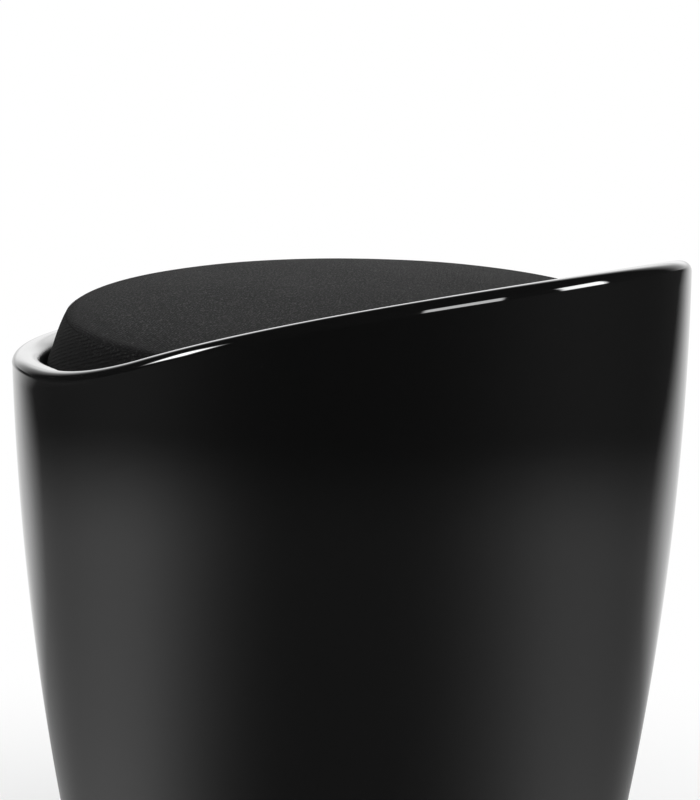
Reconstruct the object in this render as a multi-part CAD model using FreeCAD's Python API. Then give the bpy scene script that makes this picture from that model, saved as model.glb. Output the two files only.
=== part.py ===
import FreeCAD, Part
import math
import os

from FreeCAD import Vector

# Low tub stool. The outer shell is a tapered tub whose rim lies low round the front and sweeps
# up to a high back. A storage liner stands inside it and carries the seat on a ledge.
# The upholstered seat lifts straight out. Millimetres, +Z up, floor at Z = 0, front at -Y.

# Outer shell
TOP_RADIUS = 180.0
SIDE_CURVE_RADIUS = 1660.0
WIDEST_HEIGHT = 438.0
SHELL_WALL = 3.5
FLOOR_GAP = 4.0
BASE_EDGE_RADIUS = 10.0
BASE_DISH_RADIUS = 70.0
BASE_DISH_DEPTH = 6.0

# Rim. Seen along X its top is a gentle straight rise from the front, an upward sweep and a
# slightly crowned climb to the back.
RIM_LOW = 389.0
RIM_FRONT_TILT = 5.1
RIM_SWEEP_START = -49.4
RIM_SWEEP_RADIUS = 336.0
RIM_STEEPEST = 20.65
RIM_CROWN_RADIUS = 1430.0
RIM_WIDTH = 16.0
RIM_OUTER_ROUND = 5.4
RIM_INNER_ROUND = 7.8
RIM_SKIN = 4.5
RIM_RETURN_WALL = 3.0
RIM_RETURN_DEPTH = 12.0

# Storage liner
LINER_WALL = 2.5
LINER_LEDGE_THICKNESS = 5.0
LINER_GLUE_GAP = 0.2
LINER_BELOW_RIM = 7.0
LEDGE_BELOW_LOW_RIM = 38.0
LEDGE_EDGE_ROUND = 2.0
WELL_MOUTH_RADIUS = 143.0
WELL_FLOOR_RADIUS = 108.0
WELL_FLOOR_HEIGHT = 23.0
WELL_CORNER_RADIUS = 8.0
BOSS_RADIUS = 5.5

# Feet and their screws
FOOT_COUNT = 4
FOOT_FIRST_ANGLE = 45.0
FOOT_PITCH_RADIUS = 98.0
FOOT_RADIUS = 12.0
FOOT_EDGE_ROUND = 1.0
FOOT_RECESS_DEPTH = 1.0
FOOT_RECESS_CLEARANCE = 0.2
SCREW_HEAD_RADIUS = 4.0
SCREW_HEAD_HEIGHT = 2.4
SCREW_HEAD_ROUND = 0.8
SCREW_POCKET_RADIUS = 4.8
SCREW_POCKET_DEPTH = 2.8
SCREW_RADIUS = 1.95
SCREW_LENGTH = 15.0
SCREW_TIP_CHAMFER = 1.0
SCREW_HOLE_RADIUS = 2.0
SCREW_SLOT_WIDTH = 1.1
SCREW_SLOT_LENGTH = 4.4
SCREW_SLOT_DEPTH = 1.3

# Seat
SEAT_RADIUS = 161.2
SEAT_SIDE_CURVE_RADIUS = 112.0
SEAT_UPRIGHT_BELOW_LOW_RIM = 20.5
SEAT_BROW_ABOVE_LOW_RIM = 25.7
SEAT_EDGE_ROUND = 7.0
SEAT_SEAM_TURN = 36.0
SEAT_CROWN_EDGE_SLOPE = 7.0
COVER_THICKNESS = 1.0
BOARD_THICKNESS = 12.0
BOARD_EDGE_ROUND = 3.0
VENT_COUNT = 6
VENT_PITCH_RADIUS = 80.0
VENT_RADIUS = 6.0
HEM_INNER_RADIUS = 132.0
DUST_COVER_RADIUS = 139.0
DUST_COVER_THICKNESS = 0.6
STAPLE_COUNT = 24
STAPLE_PITCH_RADIUS = 135.5
STAPLE_CROWN = 10.0
STAPLE_WIRE = 0.7
STAPLE_LEG = 6.0

# Heights, radii and angles that follow from the sizes above
SIDE_CURVE_CENTRE = TOP_RADIUS - SIDE_CURVE_RADIUS
SHELL_FLOOR_TOP = FLOOR_GAP + SHELL_WALL
FOOT_TOP = FLOOR_GAP + FOOT_RECESS_DEPTH
LEDGE_TOP = RIM_LOW - LEDGE_BELOW_LOW_RIM
LEDGE_BOTTOM = LEDGE_TOP - LINER_LEDGE_THICKNESS
LINER_FLOOR_BOTTOM = WELL_FLOOR_HEIGHT - LINER_WALL
WELL_TAPER = (WELL_MOUTH_RADIUS - WELL_FLOOR_RADIUS) / (LEDGE_TOP - WELL_FLOOR_HEIGHT)
BOARD_BOTTOM = LEDGE_TOP + COVER_THICKNESS
BOARD_TOP = BOARD_BOTTOM + BOARD_THICKNESS
SEAT_UPRIGHT_TOP = RIM_LOW - SEAT_UPRIGHT_BELOW_LOW_RIM
SEAT_BROW = RIM_LOW + SEAT_BROW_ABOVE_LOW_RIM
TOOL_TOP = RIM_LOW + 120.0
SLAB_TOP = TOOL_TOP + 20.0
TOOL_REACH = TOP_RADIUS + 20.0
MOUTH_TOOL_BOTTOM = RIM_LOW - 60.0

UP = Vector(0, 0, 1)
ORIGIN = Vector(0, 0, 0)
NEAR = 0.1


def at(radius, height):
    """A point of a section, in the XZ half plane."""
    return Vector(radius, 0, height)


def polar(radius, degrees, height=0.0):
    """A point on a circle about the stool's axis."""
    turn = math.radians(degrees)
    return Vector(radius * math.cos(turn), radius * math.sin(turn), height)


def line(start, end):
    return Part.LineSegment(start, end).toShape()


def lines(points):
    """Straight edges from point to point."""
    return [line(a, b) for a, b in zip(points, points[1:])]


def arc(start, centre, end):
    """The short arc from start to end about centre."""
    radius = (start - centre).Length
    middle = centre + ((start - centre) + (end - centre)).normalize() * radius
    return Part.Arc(start, middle, end).toShape()


def turned(edges):
    """The solid that a closed section makes when it is turned about the axis."""
    section = Part.Wire(Part.__sortEdges__(edges))
    return Part.Face(section).revolve(ORIGIN, UP, 360)


def cylinder(radius, bottom, top):
    return Part.makeCylinder(radius, top - bottom, Vector(0, 0, bottom), UP)


def ring_edges(solid, radius, height):
    """The level round edges of that radius about the axis at that height."""
    found = []
    for edge in solid.Edges:
        box = edge.BoundBox
        level = abs(box.ZMin - height) < NEAR and abs(box.ZMax - height) < NEAR
        if level and abs(box.XMax - radius) < NEAR and abs(box.XMin + radius) < NEAR:
            found.append(edge)
    return found


def on_feet(shape):
    """One copy of a shape, made about the axis, at each foot."""
    copies = []
    for i in range(FOOT_COUNT):
        copy = shape.copy()
        copy.translate(polar(FOOT_PITCH_RADIUS, FOOT_FIRST_ANGLE + 360.0 * i / FOOT_COUNT))
        copies.append(copy)
    return copies


def side_point(height, inset):
    """The tub's side curve at a height, moved in from the outer face by inset."""
    reach = SIDE_CURVE_RADIUS - inset
    return at(SIDE_CURVE_CENTRE + math.sqrt(reach**2 - (height - WIDEST_HEIGHT) ** 2), height)


def side_edge(low, high, inset):
    """The tub's side curve between two heights."""
    centre = at(SIDE_CURVE_CENTRE, WIDEST_HEIGHT)
    return arc(side_point(low, inset), centre, side_point(high, inset))


def tub_form(inset):
    """All that lies inside the tub's outer face moved in by inset, with its dished base."""
    floor = FLOOR_GAP + inset
    edge = BASE_EDGE_RADIUS - inset
    edge_centre = side_point(floor + edge, inset + edge)
    outward = (edge_centre - at(SIDE_CURVE_CENTRE, WIDEST_HEIGHT)).normalize()
    edge_top = edge_centre + outward * edge
    base = [
        side_point(TOOL_TOP, inset),
        at(0, TOOL_TOP),
        at(0, floor + BASE_DISH_DEPTH),
        at(BASE_DISH_RADIUS, floor + BASE_DISH_DEPTH),
        at(BASE_DISH_RADIUS + BASE_DISH_DEPTH, floor),
        at(edge_centre.x, floor),
    ]
    edges = lines(base)
    edges.append(arc(base[-1], edge_centre, edge_top))
    edges.append(side_edge(edge_top.z, TOOL_TOP, inset))
    return turned(edges)


def mouth_form(inset, bottom):
    """All that lies inside the side curve moved in by inset, from a level bottom upwards."""
    corners = [side_point(TOOL_TOP, inset), at(0, TOOL_TOP), at(0, bottom), side_point(bottom, inset)]
    return turned(lines(corners) + [side_edge(bottom, TOOL_TOP, inset)])


def rim_points():
    """Where the rim's top changes its curve, and the centres of its two arcs, in the YZ plane."""
    tilt = math.radians(RIM_FRONT_TILT)
    steepest = math.radians(RIM_STEEPEST)
    rise = math.tan(tilt)
    sweep_start = Vector(0, RIM_SWEEP_START, RIM_LOW + (RIM_SWEEP_START + TOP_RADIUS) * rise)
    sweep_centre = sweep_start + Vector(0, -math.sin(tilt), math.cos(tilt)) * RIM_SWEEP_RADIUS
    down = Vector(0, math.sin(steepest), -math.cos(steepest))
    crown_centre = sweep_centre + down * (RIM_SWEEP_RADIUS + RIM_CROWN_RADIUS)
    crown_reach = TOOL_REACH - crown_centre.y
    return {
        "front": Vector(0, -TOOL_REACH, RIM_LOW + (TOP_RADIUS - TOOL_REACH) * rise),
        "sweep_start": sweep_start,
        "sweep_centre": sweep_centre,
        "sweep_end": sweep_centre + down * RIM_SWEEP_RADIUS,
        "crown_centre": crown_centre,
        "back": crown_centre + Vector(0, crown_reach, math.sqrt(RIM_CROWN_RADIUS**2 - crown_reach**2)),
    }


def above_rim(drop):
    """The space over the rim's top lowered by drop, as a slab along X."""
    lower = Vector(-TOOL_REACH, 0, -drop)
    marks = {name: point + lower for name, point in rim_points().items()}
    front_top = Vector(-TOOL_REACH, -TOOL_REACH, SLAB_TOP)
    back_top = Vector(-TOOL_REACH, TOOL_REACH, SLAB_TOP)
    edges = lines([marks["back"], back_top, front_top, marks["front"], marks["sweep_start"]])
    edges.append(arc(marks["sweep_start"], marks["sweep_centre"], marks["sweep_end"]))
    edges.append(arc(marks["sweep_end"], marks["crown_centre"], marks["back"]))
    section = Part.Wire(Part.__sortEdges__(edges))
    return Part.Face(section).extrude(Vector(2 * TOOL_REACH, 0, 0))


def rim_edges(tub, top, inset):
    """The edges where the slab over the rim meets the side curve moved in by inset."""
    found = []
    for edge in tub.Edges:
        on_rim = True
        for point in edge.discretize(9):
            radius = math.hypot(point.x, point.y)
            on_side = abs(radius - side_point(point.z, inset).x) < NEAR
            on_top = top.distToShape(Part.Vertex(point))[0] < NEAR
            on_rim = on_rim and on_side and on_top
        if on_rim:
            found.append(edge)
    return found


def outer_shell():
    """Tub with a closed, dished base and a rim that rolls over into a hanging return."""
    tub = tub_form(0).cut(mouth_form(RIM_WIDTH, MOUTH_TOOL_BOTTOM))
    top = above_rim(0)
    tub = tub.cut(top)
    tub = tub.makeFillet(RIM_OUTER_ROUND, rim_edges(tub, top, 0))
    tub = tub.makeFillet(RIM_INNER_ROUND, rim_edges(tub, top, RIM_WIDTH))
    hollow = tub_form(SHELL_WALL)
    channel = hollow.cut(mouth_form(RIM_WIDTH - RIM_RETURN_WALL, WELL_FLOOR_HEIGHT))
    tub = tub.cut(hollow.cut(above_rim(RIM_RETURN_DEPTH)))
    tub = tub.cut(channel.cut(above_rim(RIM_SKIN)))
    recess = cylinder(FOOT_RADIUS + FOOT_RECESS_CLEARANCE, 0, FOOT_TOP)
    hole = cylinder(SCREW_HOLE_RADIUS, 0, SHELL_FLOOR_TOP)
    for cutter in on_feet(recess.fuse(hole)):
        tub = tub.cut(cutter)
    return tub


def well_radius(height):
    """Inside radius of the tapered storage well at a height."""
    return WELL_FLOOR_RADIUS + WELL_TAPER * (height - WELL_FLOOR_HEIGHT)


def liner_wall_radius(height):
    """Outside radius of the storage well's wall at a height."""
    return well_radius(height) + LINER_WALL * math.hypot(1, WELL_TAPER)


def storage_liner():
    """Tapered well with a seat ledge, a skirt up behind the rim's return, and screw bosses underneath."""
    skirt_inside = RIM_WIDTH - RIM_RETURN_WALL - LINER_GLUE_GAP
    skirt_outside = skirt_inside - LINER_WALL
    skirt_foot = side_point(LEDGE_TOP, skirt_inside)
    underside = [
        at(0, LINER_FLOOR_BOTTOM),
        at(liner_wall_radius(LINER_FLOOR_BOTTOM), LINER_FLOOR_BOTTOM),
        at(liner_wall_radius(LEDGE_BOTTOM), LEDGE_BOTTOM),
        side_point(LEDGE_BOTTOM, skirt_outside),
    ]
    inside = [
        skirt_foot,
        at(WELL_MOUTH_RADIUS, LEDGE_TOP),
        at(WELL_FLOOR_RADIUS, WELL_FLOOR_HEIGHT),
        at(0, WELL_FLOOR_HEIGHT),
        underside[0],
    ]
    edges = lines(underside) + lines(inside)
    edges.append(side_edge(LEDGE_BOTTOM, TOOL_TOP, skirt_outside))
    edges.append(line(side_point(TOOL_TOP, skirt_outside), side_point(TOOL_TOP, skirt_inside)))
    edges.append(side_edge(LEDGE_TOP, TOOL_TOP, skirt_inside))
    liner = turned(edges)
    liner = liner.makeFillet(WELL_CORNER_RADIUS, ring_edges(liner, WELL_FLOOR_RADIUS, WELL_FLOOR_HEIGHT))
    liner = liner.makeFillet(LEDGE_EDGE_ROUND, ring_edges(liner, WELL_MOUTH_RADIUS, LEDGE_TOP))
    liner = liner.makeFillet(LEDGE_EDGE_ROUND, ring_edges(liner, skirt_foot.x, LEDGE_TOP))
    liner = liner.cut(above_rim(LINER_BELOW_RIM))
    boss = cylinder(BOSS_RADIUS, SHELL_FLOOR_TOP, LINER_FLOOR_BOTTOM)
    pilot = cylinder(SCREW_HOLE_RADIUS, SHELL_FLOOR_TOP, LINER_FLOOR_BOTTOM)
    for tube in on_feet(boss.cut(pilot)):
        liner = liner.fuse(tube)
    return liner.removeSplitter()


def foot():
    """Soft pad with a sunk screw pocket, standing in the shell's recess."""
    pad = cylinder(FOOT_RADIUS, 0, FOOT_TOP)
    pad = pad.makeFillet(FOOT_EDGE_ROUND, ring_edges(pad, FOOT_RADIUS, 0))
    pocket = cylinder(SCREW_POCKET_RADIUS, 0, SCREW_POCKET_DEPTH)
    return pad.cut(pocket).cut(cylinder(SCREW_HOLE_RADIUS, 0, FOOT_TOP))


def foot_screw():
    """Pan-head screw with a cross slot, head down in the foot's pocket."""
    head_bottom = SCREW_POCKET_DEPTH - SCREW_HEAD_HEIGHT
    tip = SCREW_POCKET_DEPTH + SCREW_LENGTH
    head = cylinder(SCREW_HEAD_RADIUS, head_bottom, SCREW_POCKET_DEPTH)
    head = head.makeFillet(SCREW_HEAD_ROUND, ring_edges(head, SCREW_HEAD_RADIUS, head_bottom))
    screw = head.fuse(cylinder(SCREW_RADIUS, SCREW_POCKET_DEPTH, tip))
    screw = screw.makeChamfer(SCREW_TIP_CHAMFER, ring_edges(screw, SCREW_RADIUS, tip))
    for length, width in (
        (SCREW_SLOT_LENGTH, SCREW_SLOT_WIDTH),
        (SCREW_SLOT_WIDTH, SCREW_SLOT_LENGTH),
    ):
        corner = Vector(-length / 2, -width / 2, head_bottom)
        screw = screw.cut(Part.makeBox(length, width, SCREW_SLOT_DEPTH, corner))
    return screw


def cushion_section(inset):
    """Points of the cushion's section moved in by inset: leaning side, rounded edge, crown."""
    side_centre = at(SEAT_RADIUS - SEAT_SIDE_CURVE_RADIUS, SEAT_UPRIGHT_TOP)
    lean = math.asin((SEAT_BROW - SEAT_UPRIGHT_TOP) / SEAT_SIDE_CURVE_RADIUS)
    brow_way = at(math.cos(lean), math.sin(lean))
    seam_turn = math.radians(SEAT_SEAM_TURN)
    seam_way = at(math.cos(seam_turn), math.sin(seam_turn))
    slope = math.radians(SEAT_CROWN_EDGE_SLOPE)
    crown_way = at(math.sin(slope), math.cos(slope))
    edge_centre = side_centre + brow_way * (SEAT_SIDE_CURVE_RADIUS - SEAT_EDGE_ROUND)
    crown_radius = SEAT_EDGE_ROUND + edge_centre.x / math.sin(slope)
    crown_centre = edge_centre - crown_way * (crown_radius - SEAT_EDGE_ROUND)
    return {
        "side_centre": side_centre,
        "edge_centre": edge_centre,
        "crown_centre": crown_centre,
        "upright": at(SEAT_RADIUS - inset, SEAT_UPRIGHT_TOP),
        "brow": edge_centre + brow_way * (SEAT_EDGE_ROUND - inset),
        "seam": edge_centre + seam_way * (SEAT_EDGE_ROUND - inset),
        "shoulder": edge_centre + crown_way * (SEAT_EDGE_ROUND - inset),
        "apex": crown_centre + UP * (crown_radius - inset),
    }


def side_edges(section):
    """Leaning side and lower part of the rounded edge, up to the seam."""
    return [
        arc(section["upright"], section["side_centre"], section["brow"]),
        arc(section["brow"], section["edge_centre"], section["seam"]),
    ]


def top_edges(section):
    """Upper part of the rounded edge and the crown, from the seam to the axis."""
    return [
        arc(section["seam"], section["edge_centre"], section["shoulder"]),
        arc(section["shoulder"], section["crown_centre"], section["apex"]),
    ]


def side_band_edges(section, inset):
    """One face of the cover's side, from its hem under the board up to the seam."""
    bottom = LEDGE_TOP + inset
    corner = BOARD_EDGE_ROUND + COVER_THICKNESS
    corner_centre = at(SEAT_RADIUS - corner, LEDGE_TOP + corner)
    under = at(corner_centre.x, bottom)
    beside = at(SEAT_RADIUS - inset, corner_centre.z)
    return [
        line(at(HEM_INNER_RADIUS, bottom), under),
        arc(under, corner_centre, beside),
        line(beside, section["upright"]),
        *side_edges(section),
    ]


def cover_top_panel():
    """Crowned round of fabric, from the seam inwards."""
    outer = cushion_section(0)
    inner = cushion_section(COVER_THICKNESS)
    edges = top_edges(outer) + top_edges(inner)
    edges.append(line(outer["seam"], inner["seam"]))
    edges.append(line(outer["apex"], inner["apex"]))
    return turned(edges)


def cover_side_band():
    """Fabric band from the seam down the side, round the board's edge and under it as a hem."""
    outer = cushion_section(0)
    inner = cushion_section(COVER_THICKNESS)
    edges = side_band_edges(outer, 0) + side_band_edges(inner, COVER_THICKNESS)
    edges.append(line(outer["seam"], inner["seam"]))
    edges.append(line(at(HEM_INNER_RADIUS, LEDGE_TOP), at(HEM_INNER_RADIUS, BOARD_BOTTOM)))
    return turned(edges)


def seat_foam():
    """Foam pad on the board: upright foot, drawn-in side, rounded edge, crowned top."""
    section = cushion_section(COVER_THICKNESS)
    foot_corner = at(section["upright"].x, BOARD_TOP)
    edges = lines([section["apex"], at(0, BOARD_TOP), foot_corner, section["upright"]])
    return turned(edges + side_edges(section) + top_edges(section))


def seat_board():
    """Round plywood board with breathing holes for the foam."""
    radius = SEAT_RADIUS - COVER_THICKNESS
    board = cylinder(radius, BOARD_BOTTOM, BOARD_TOP)
    board = board.makeFillet(BOARD_EDGE_ROUND, ring_edges(board, radius, BOARD_BOTTOM))
    for i in range(VENT_COUNT):
        vent = cylinder(VENT_RADIUS, BOARD_BOTTOM, BOARD_TOP)
        vent.translate(polar(VENT_PITCH_RADIUS, 360.0 * i / VENT_COUNT))
        board = board.cut(vent)
    return board


def dust_cover():
    """Thin sheet that closes the seat's underside, over the hem's raw edge."""
    return cylinder(DUST_COVER_RADIUS, LEDGE_TOP - DUST_COVER_THICKNESS, LEDGE_TOP)


def cover_staples():
    """Staples round the hem: crown under the dust cover, two legs up into the board."""
    crown_top = LEDGE_TOP - DUST_COVER_THICKNESS
    side = STAPLE_PITCH_RADIUS - STAPLE_WIRE / 2
    end = STAPLE_CROWN / 2
    crown_corner = Vector(side, -end, crown_top - STAPLE_WIRE)
    staple = Part.makeBox(STAPLE_WIRE, STAPLE_CROWN, STAPLE_WIRE, crown_corner)
    for leg_start in (-end, end - STAPLE_WIRE):
        leg_corner = Vector(side, leg_start, crown_top)
        staple = staple.fuse(Part.makeBox(STAPLE_WIRE, STAPLE_WIRE, STAPLE_LEG, leg_corner))
    staple = staple.removeSplitter()
    copies = []
    for i in range(STAPLE_COUNT):
        copy = staple.copy()
        copy.rotate(ORIGIN, UP, 360.0 * (i + 0.5) / STAPLE_COUNT)
        copies.append(copy)
    return Part.makeCompound(copies)


def stool():
    """Every piece of the stool, by name."""
    pieces = {
        "outer_shell": outer_shell(),
        "storage_liner": storage_liner(),
        "foot_screws": Part.makeCompound(on_feet(foot_screw())),
        "seat_board": seat_board(),
        "seat_foam": seat_foam(),
        "cover_top_panel": cover_top_panel(),
        "cover_side_band": cover_side_band(),
        "dust_cover": dust_cover(),
        "cover_staples": cover_staples(),
    }
    for number, pad in enumerate(on_feet(foot()), start=1):
        pieces[f"foot_{number}"] = pad
    return pieces


os.makedirs("parts", exist_ok=True)
for name, shape in stool().items():
    sound = all(solid.isValid() and solid.isClosed() for solid in shape.Solids)
    print(name, len(shape.Solids), "sound" if sound else "NOT SOUND", round(shape.Volume), "mm3")
    shape.exportStep(f"parts/{name}.step")
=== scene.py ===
import math

import bpy
import numpy as np
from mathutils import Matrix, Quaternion, Vector


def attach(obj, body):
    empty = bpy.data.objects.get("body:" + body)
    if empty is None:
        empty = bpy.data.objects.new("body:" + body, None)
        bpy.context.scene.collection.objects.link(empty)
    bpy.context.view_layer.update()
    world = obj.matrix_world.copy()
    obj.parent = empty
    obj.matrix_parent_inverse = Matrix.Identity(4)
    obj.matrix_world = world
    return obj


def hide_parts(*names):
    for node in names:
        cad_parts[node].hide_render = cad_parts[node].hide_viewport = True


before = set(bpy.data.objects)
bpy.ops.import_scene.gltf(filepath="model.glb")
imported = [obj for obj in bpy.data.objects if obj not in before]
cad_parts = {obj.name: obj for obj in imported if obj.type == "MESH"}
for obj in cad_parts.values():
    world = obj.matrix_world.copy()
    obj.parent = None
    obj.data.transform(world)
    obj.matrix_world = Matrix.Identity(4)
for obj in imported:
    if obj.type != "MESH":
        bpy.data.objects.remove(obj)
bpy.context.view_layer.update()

# Sizes of the tub in metres and degrees, the same as in the solids
TOP_RADIUS = 0.180
SIDE_CURVE_RADIUS = 1.660
WIDEST_HEIGHT = 0.438
SHELL_WALL = 0.0035
FLOOR_GAP = 0.004
BASE_EDGE_RADIUS = 0.010
BASE_DISH_RADIUS = 0.070
BASE_DISH_DEPTH = 0.006
RIM_LOW = 0.389
RIM_FRONT_TILT = 5.1
RIM_SWEEP_START = -0.0494
RIM_SWEEP_RADIUS = 0.336
RIM_STEEPEST = 20.65
RIM_CROWN_RADIUS = 1.430
RIM_WIDTH = 0.016
RIM_OUTER_ROUND = 0.0054
RIM_INNER_ROUND = 0.0078
RIM_SKIN = 0.0045
RIM_RETURN_WALL = 0.003
RIM_RETURN_DEPTH = 0.012
FOOT_COUNT = 4
FOOT_FIRST_ANGLE = 45
FOOT_PITCH_RADIUS = 0.098
FOOT_RECESS_RADIUS = 0.0122
FOOT_RECESS_DEPTH = 0.001

# Sizes of the seat in metres and degrees, the same as in the solids
SEAT_RADIUS = 0.1612
SEAT_BOTTOM = 0.351
SEAT_UPRIGHT_TOP = 0.3685
SEAT_SIDE_CURVE_RADIUS = 0.112
SEAT_BROW = 0.4147
SEAT_EDGE_ROUND = 0.007
SEAT_SEAM_TURN = 36
SEAT_CROWN_EDGE_SLOPE = 7
SEAT_CORNER_ROUND = 0.004
COVER_THICKNESS = 0.001
BOARD_TOP = 0.364
HEM_INNER_RADIUS = 0.132
LEDGE_INNER_RADIUS = 0.143
DUST_COVER_RADIUS = 0.139
DUST_COVER_THICKNESS = 0.0006
STAPLE_COUNT = 24

# How the cover sits on its pad, and its seam, stitches and hem, in metres and degrees
PAD_INSET = 0.0015
COVER_SLACK = 0.0003
SLACK_RADIUS = 0.15
COVER_PRESSURE = 4
COVER_FRAMES = 20
COVER_REACH = 0.006
EVENING_ROUNDS = 60
HELD_SIDE = 0.012
COVER_FULLNESS = 0.0008
FULL_FROM_RADIUS = 0.120
FULL_AT_RADIUS = 0.150
COVER_LIFT = 0.0004
FULLER_SIDE = 139
SHOULDER_DROP = 0.001
SHOULDER_RADIUS = 0.146
SHOULDER_WIDTH = 0.012
FOAM_WAVE_HEIGHT = 0.00022
FOAM_WAVE_RADIUS = 0.148
FOAM_WAVES = ((61, 23, 0.7), (-37, 71, 2.1), (97, -53, 4.0))
SIDE_ROLL = 0.0008
SIDE_ROLL_LOW = (0.372, 0.384)
SIDE_ROLL_HIGH = (0.3905, 0.3965)
SIDE_ROLL_RADIUS = 0.145
SEAM_DIP = 0.0003
SEAM_DIP_WIDTH = 0.0012
SEAM_PUCKERS = ((157, 0.25, 0.0), (83, 0.2, 1.3))
STITCH_COUNT = 320
STITCH_THREAD = 0.00025
STITCH_REACH = 0.0009
STITCH_DEPTH = 0.0005
STITCH_RINGS = ((-1, 0.35), (-0.75, 0.9), (0, 1.0), (0.75, 0.9), (1, 0.35))
HEM_PLEATS = 90
HEM_PLEAT_DEPTH = 0.0004
HEM_PLEAT_OUTER_END = 0.002
HEM_PLEAT_INNER_END = 0.001
DUST_COVER_FREE_RADIUS = 0.129
DUST_COVER_SAG = 0.0016

# Pitches and turns in the finishes, and how far the cloth's painted shade and the gloss's dullness go, in
# metres and degrees
DULL_EDGE = 0.004
THREAD_PITCH = 0.00085
RIB_PITCH = 0.0022
RIB_CLIMB = 0.31
WEAVE_TURN = 28
# Where the cloth's painted shade is full below the seam, and where it has gone, in from the seam on the top
PAINTED_SHADING_START = -0.010
PAINTED_SHADING_FULL = 0.024
PRESSED_POINT_PITCH = 0.0026
PLY_PITCH = 0.0048

# The photograph's view, taken as 700 by 800, and the studio round it
CAMERA_AZIMUTH = 138.86
CAMERA_ELEVATION = 12.82
CAMERA_DISTANCE = 2.0
CAMERA_ROLL = 0.82
CAMERA_LENS = 168.4
CAMERA_SENSOR = 36
CAMERA_AIM_HEIGHT = 0.36918
CAMERA_AIM_RIGHT = 0.00045
LAMP_AIM_HEIGHT = 0.42
FLOOR_WIDTH = 40.0
FLOOR_DROP = 0.0002
TOWARDS_CAMERA = Vector(
    (math.sin(math.radians(CAMERA_AZIMUTH)), -math.cos(math.radians(CAMERA_AZIMUTH)), 0)
)
CAMERA_RIGHT = Vector(
    (math.cos(math.radians(CAMERA_AZIMUTH)), math.sin(math.radians(CAMERA_AZIMUTH)), 0)
)

# How finely the pieces are divided, and the angles in degrees from which an edge is sharp
SHELL_TURNS = 384
BASE_EDGE_RINGS = 12
OUTER_WALL_ROWS = 60
INNER_WALL_ROWS = 40
OUTER_ROUND_RINGS = 15
INNER_ROUND_RINGS = 9
RETURN_FRONT_ROWS = 5
RETURN_BACK_ROWS = 4
RECESS_TURNS = 48
PAD_RINGS = 44
EDGE_RINGS = 4
BAND_EDGE_RINGS = 5
BAND_SIDE_RINGS = 15
BAND_UPRIGHT_RINGS = 3
BAND_CORNER_RINGS = 4
BAND_HEM_RINGS = 7
DUST_COVER_RINGS = 40
STITCH_SIDES = 6
CREASE_ANGLE = 40
CUT_EDGE_ANGLE = 60
SMOOTH_ALL_OVER = 180


class Signal:
    """A shader socket. Arithmetic on it adds Math nodes, and add() adds any other node."""

    def __init__(self, tree, socket=None):
        self.tree = tree
        self.socket = socket

    def add(self, kind, settings=None, inputs=None, out=0):
        """Adds a node, sets its settings, then its sockets, and gives one of its outputs."""
        node = self.tree.nodes.new(kind)
        for name, value in (settings or {}).items():
            setattr(node, name, value)
        for name, value in (inputs or {}).items():
            if isinstance(value, Signal):
                self.tree.links.new(value.socket, node.inputs[name])
            else:
                node.inputs[name].default_value = value
        return Signal(self.tree, node.outputs[out]) if node.outputs else None

    def math(self, operation, *values):
        return self.add("ShaderNodeMath", {"operation": operation}, dict(enumerate((self,) + values)))

    def __add__(self, other):
        return self.math("ADD", other)

    __radd__ = __add__

    def __sub__(self, other):
        return self.math("SUBTRACT", other)

    def __rsub__(self, other):
        return self.add("ShaderNodeMath", {"operation": "SUBTRACT"}, {0: other, 1: self})

    def __mul__(self, other):
        return self.math("MULTIPLY", other)

    def __truediv__(self, other):
        return self.math("DIVIDE", other)

    def step(self, low, high):
        """0 below low, 1 above high, and smooth between them."""
        ends = {"Value": self, "From Min": low, "From Max": high}
        return self.add("ShaderNodeMapRange", {"interpolation_type": "SMOOTHSTEP"}, ends)

    def between(self, first, second):
        """A colour that goes from first to second as this value goes from 0 to 1."""
        return self.add("ShaderNodeMix", {"data_type": "RGBA"}, {0: self, 6: first, 7: second}, out=2)

    def bump(self, depth, strength=1.0):
        """A normal from this height, where a height of 1 stands up by depth in metres."""
        return self.add("ShaderNodeBump", None, {"Height": self, "Distance": depth, "Strength": strength})

    def noise(self, scale, detail=2.0, roughness=0.5):
        """Noise at this position, with about scale bumps to the metre."""
        sockets = {"Vector": self, "Scale": scale, "Detail": detail, "Roughness": roughness}
        return self.add("ShaderNodeTexNoise", None, sockets)

    def axes(self):
        """The x, y and z of this position."""
        first = self.add("ShaderNodeSeparateXYZ", None, {0: self})
        return [Signal(self.tree, socket) for socket in first.socket.node.outputs]


def grey(level, warmth=0.0):
    """A linear colour near grey: warmth lifts red and lowers blue."""
    return (level * (1 + warmth), level, level * (1 - warmth), 1.0)


def empty_nodes(owner):
    """Starts the shader of a material, a lamp or a world afresh."""
    owner.use_nodes = True
    owner.node_tree.nodes.clear()
    return Signal(owner.node_tree)


def finish_named(name, recipe, **choices):
    """A material whose Principled shader takes its sockets from recipe(position)."""
    material = bpy.data.materials.new(name)
    start = empty_nodes(material)
    position = start.add("ShaderNodeTexCoord", out="Object")
    shader = start.add("ShaderNodeBsdfPrincipled", None, recipe(position, **choices))
    start.add("ShaderNodeOutputMaterial", None, {"Surface": shader})
    return material


# Finishes of the tub

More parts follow.
